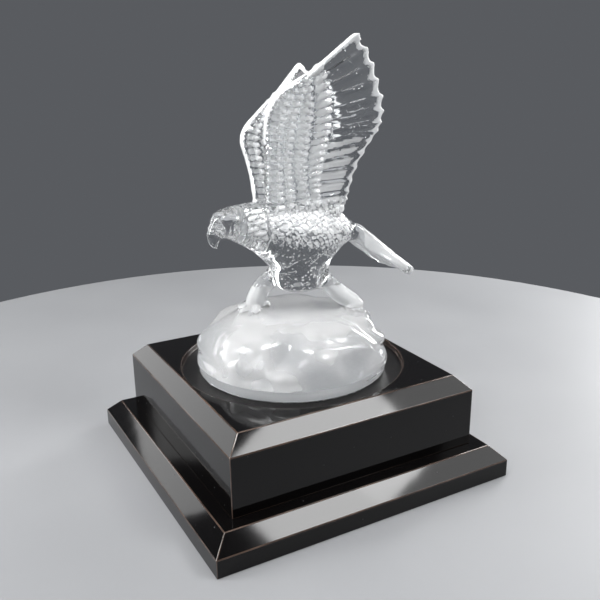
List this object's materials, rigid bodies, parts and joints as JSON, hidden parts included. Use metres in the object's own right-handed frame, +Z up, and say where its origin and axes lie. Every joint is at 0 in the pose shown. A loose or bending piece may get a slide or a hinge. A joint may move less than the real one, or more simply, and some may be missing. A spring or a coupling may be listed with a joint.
{
  "type": "crystal eagle award",
  "caption": "Clear crystal eagle landing with raised wings on a frosted rock, set in the round recess of a stepped black plinth.",
  "frame": {"origin": "centre of the plinth's underside, on the surface that it stands on", "axes": "+Z up, +X to the right along the front of the plinth, -Y towards the front; the eagle faces -X"},
  "size_m": [0.203, 0.203, 0.2721],
  "materials": {
    "black_lacquer": "high-gloss black piano lacquer on wood",
    "crystal": "clear cast crystal, the rock satin frosted"
  },
  "bodies": {
    "root": {"plinth_plate": "black_lacquer", "plinth_block": "black_lacquer", "crystal_eagle": "crystal"}
  },
  "joints": []
}
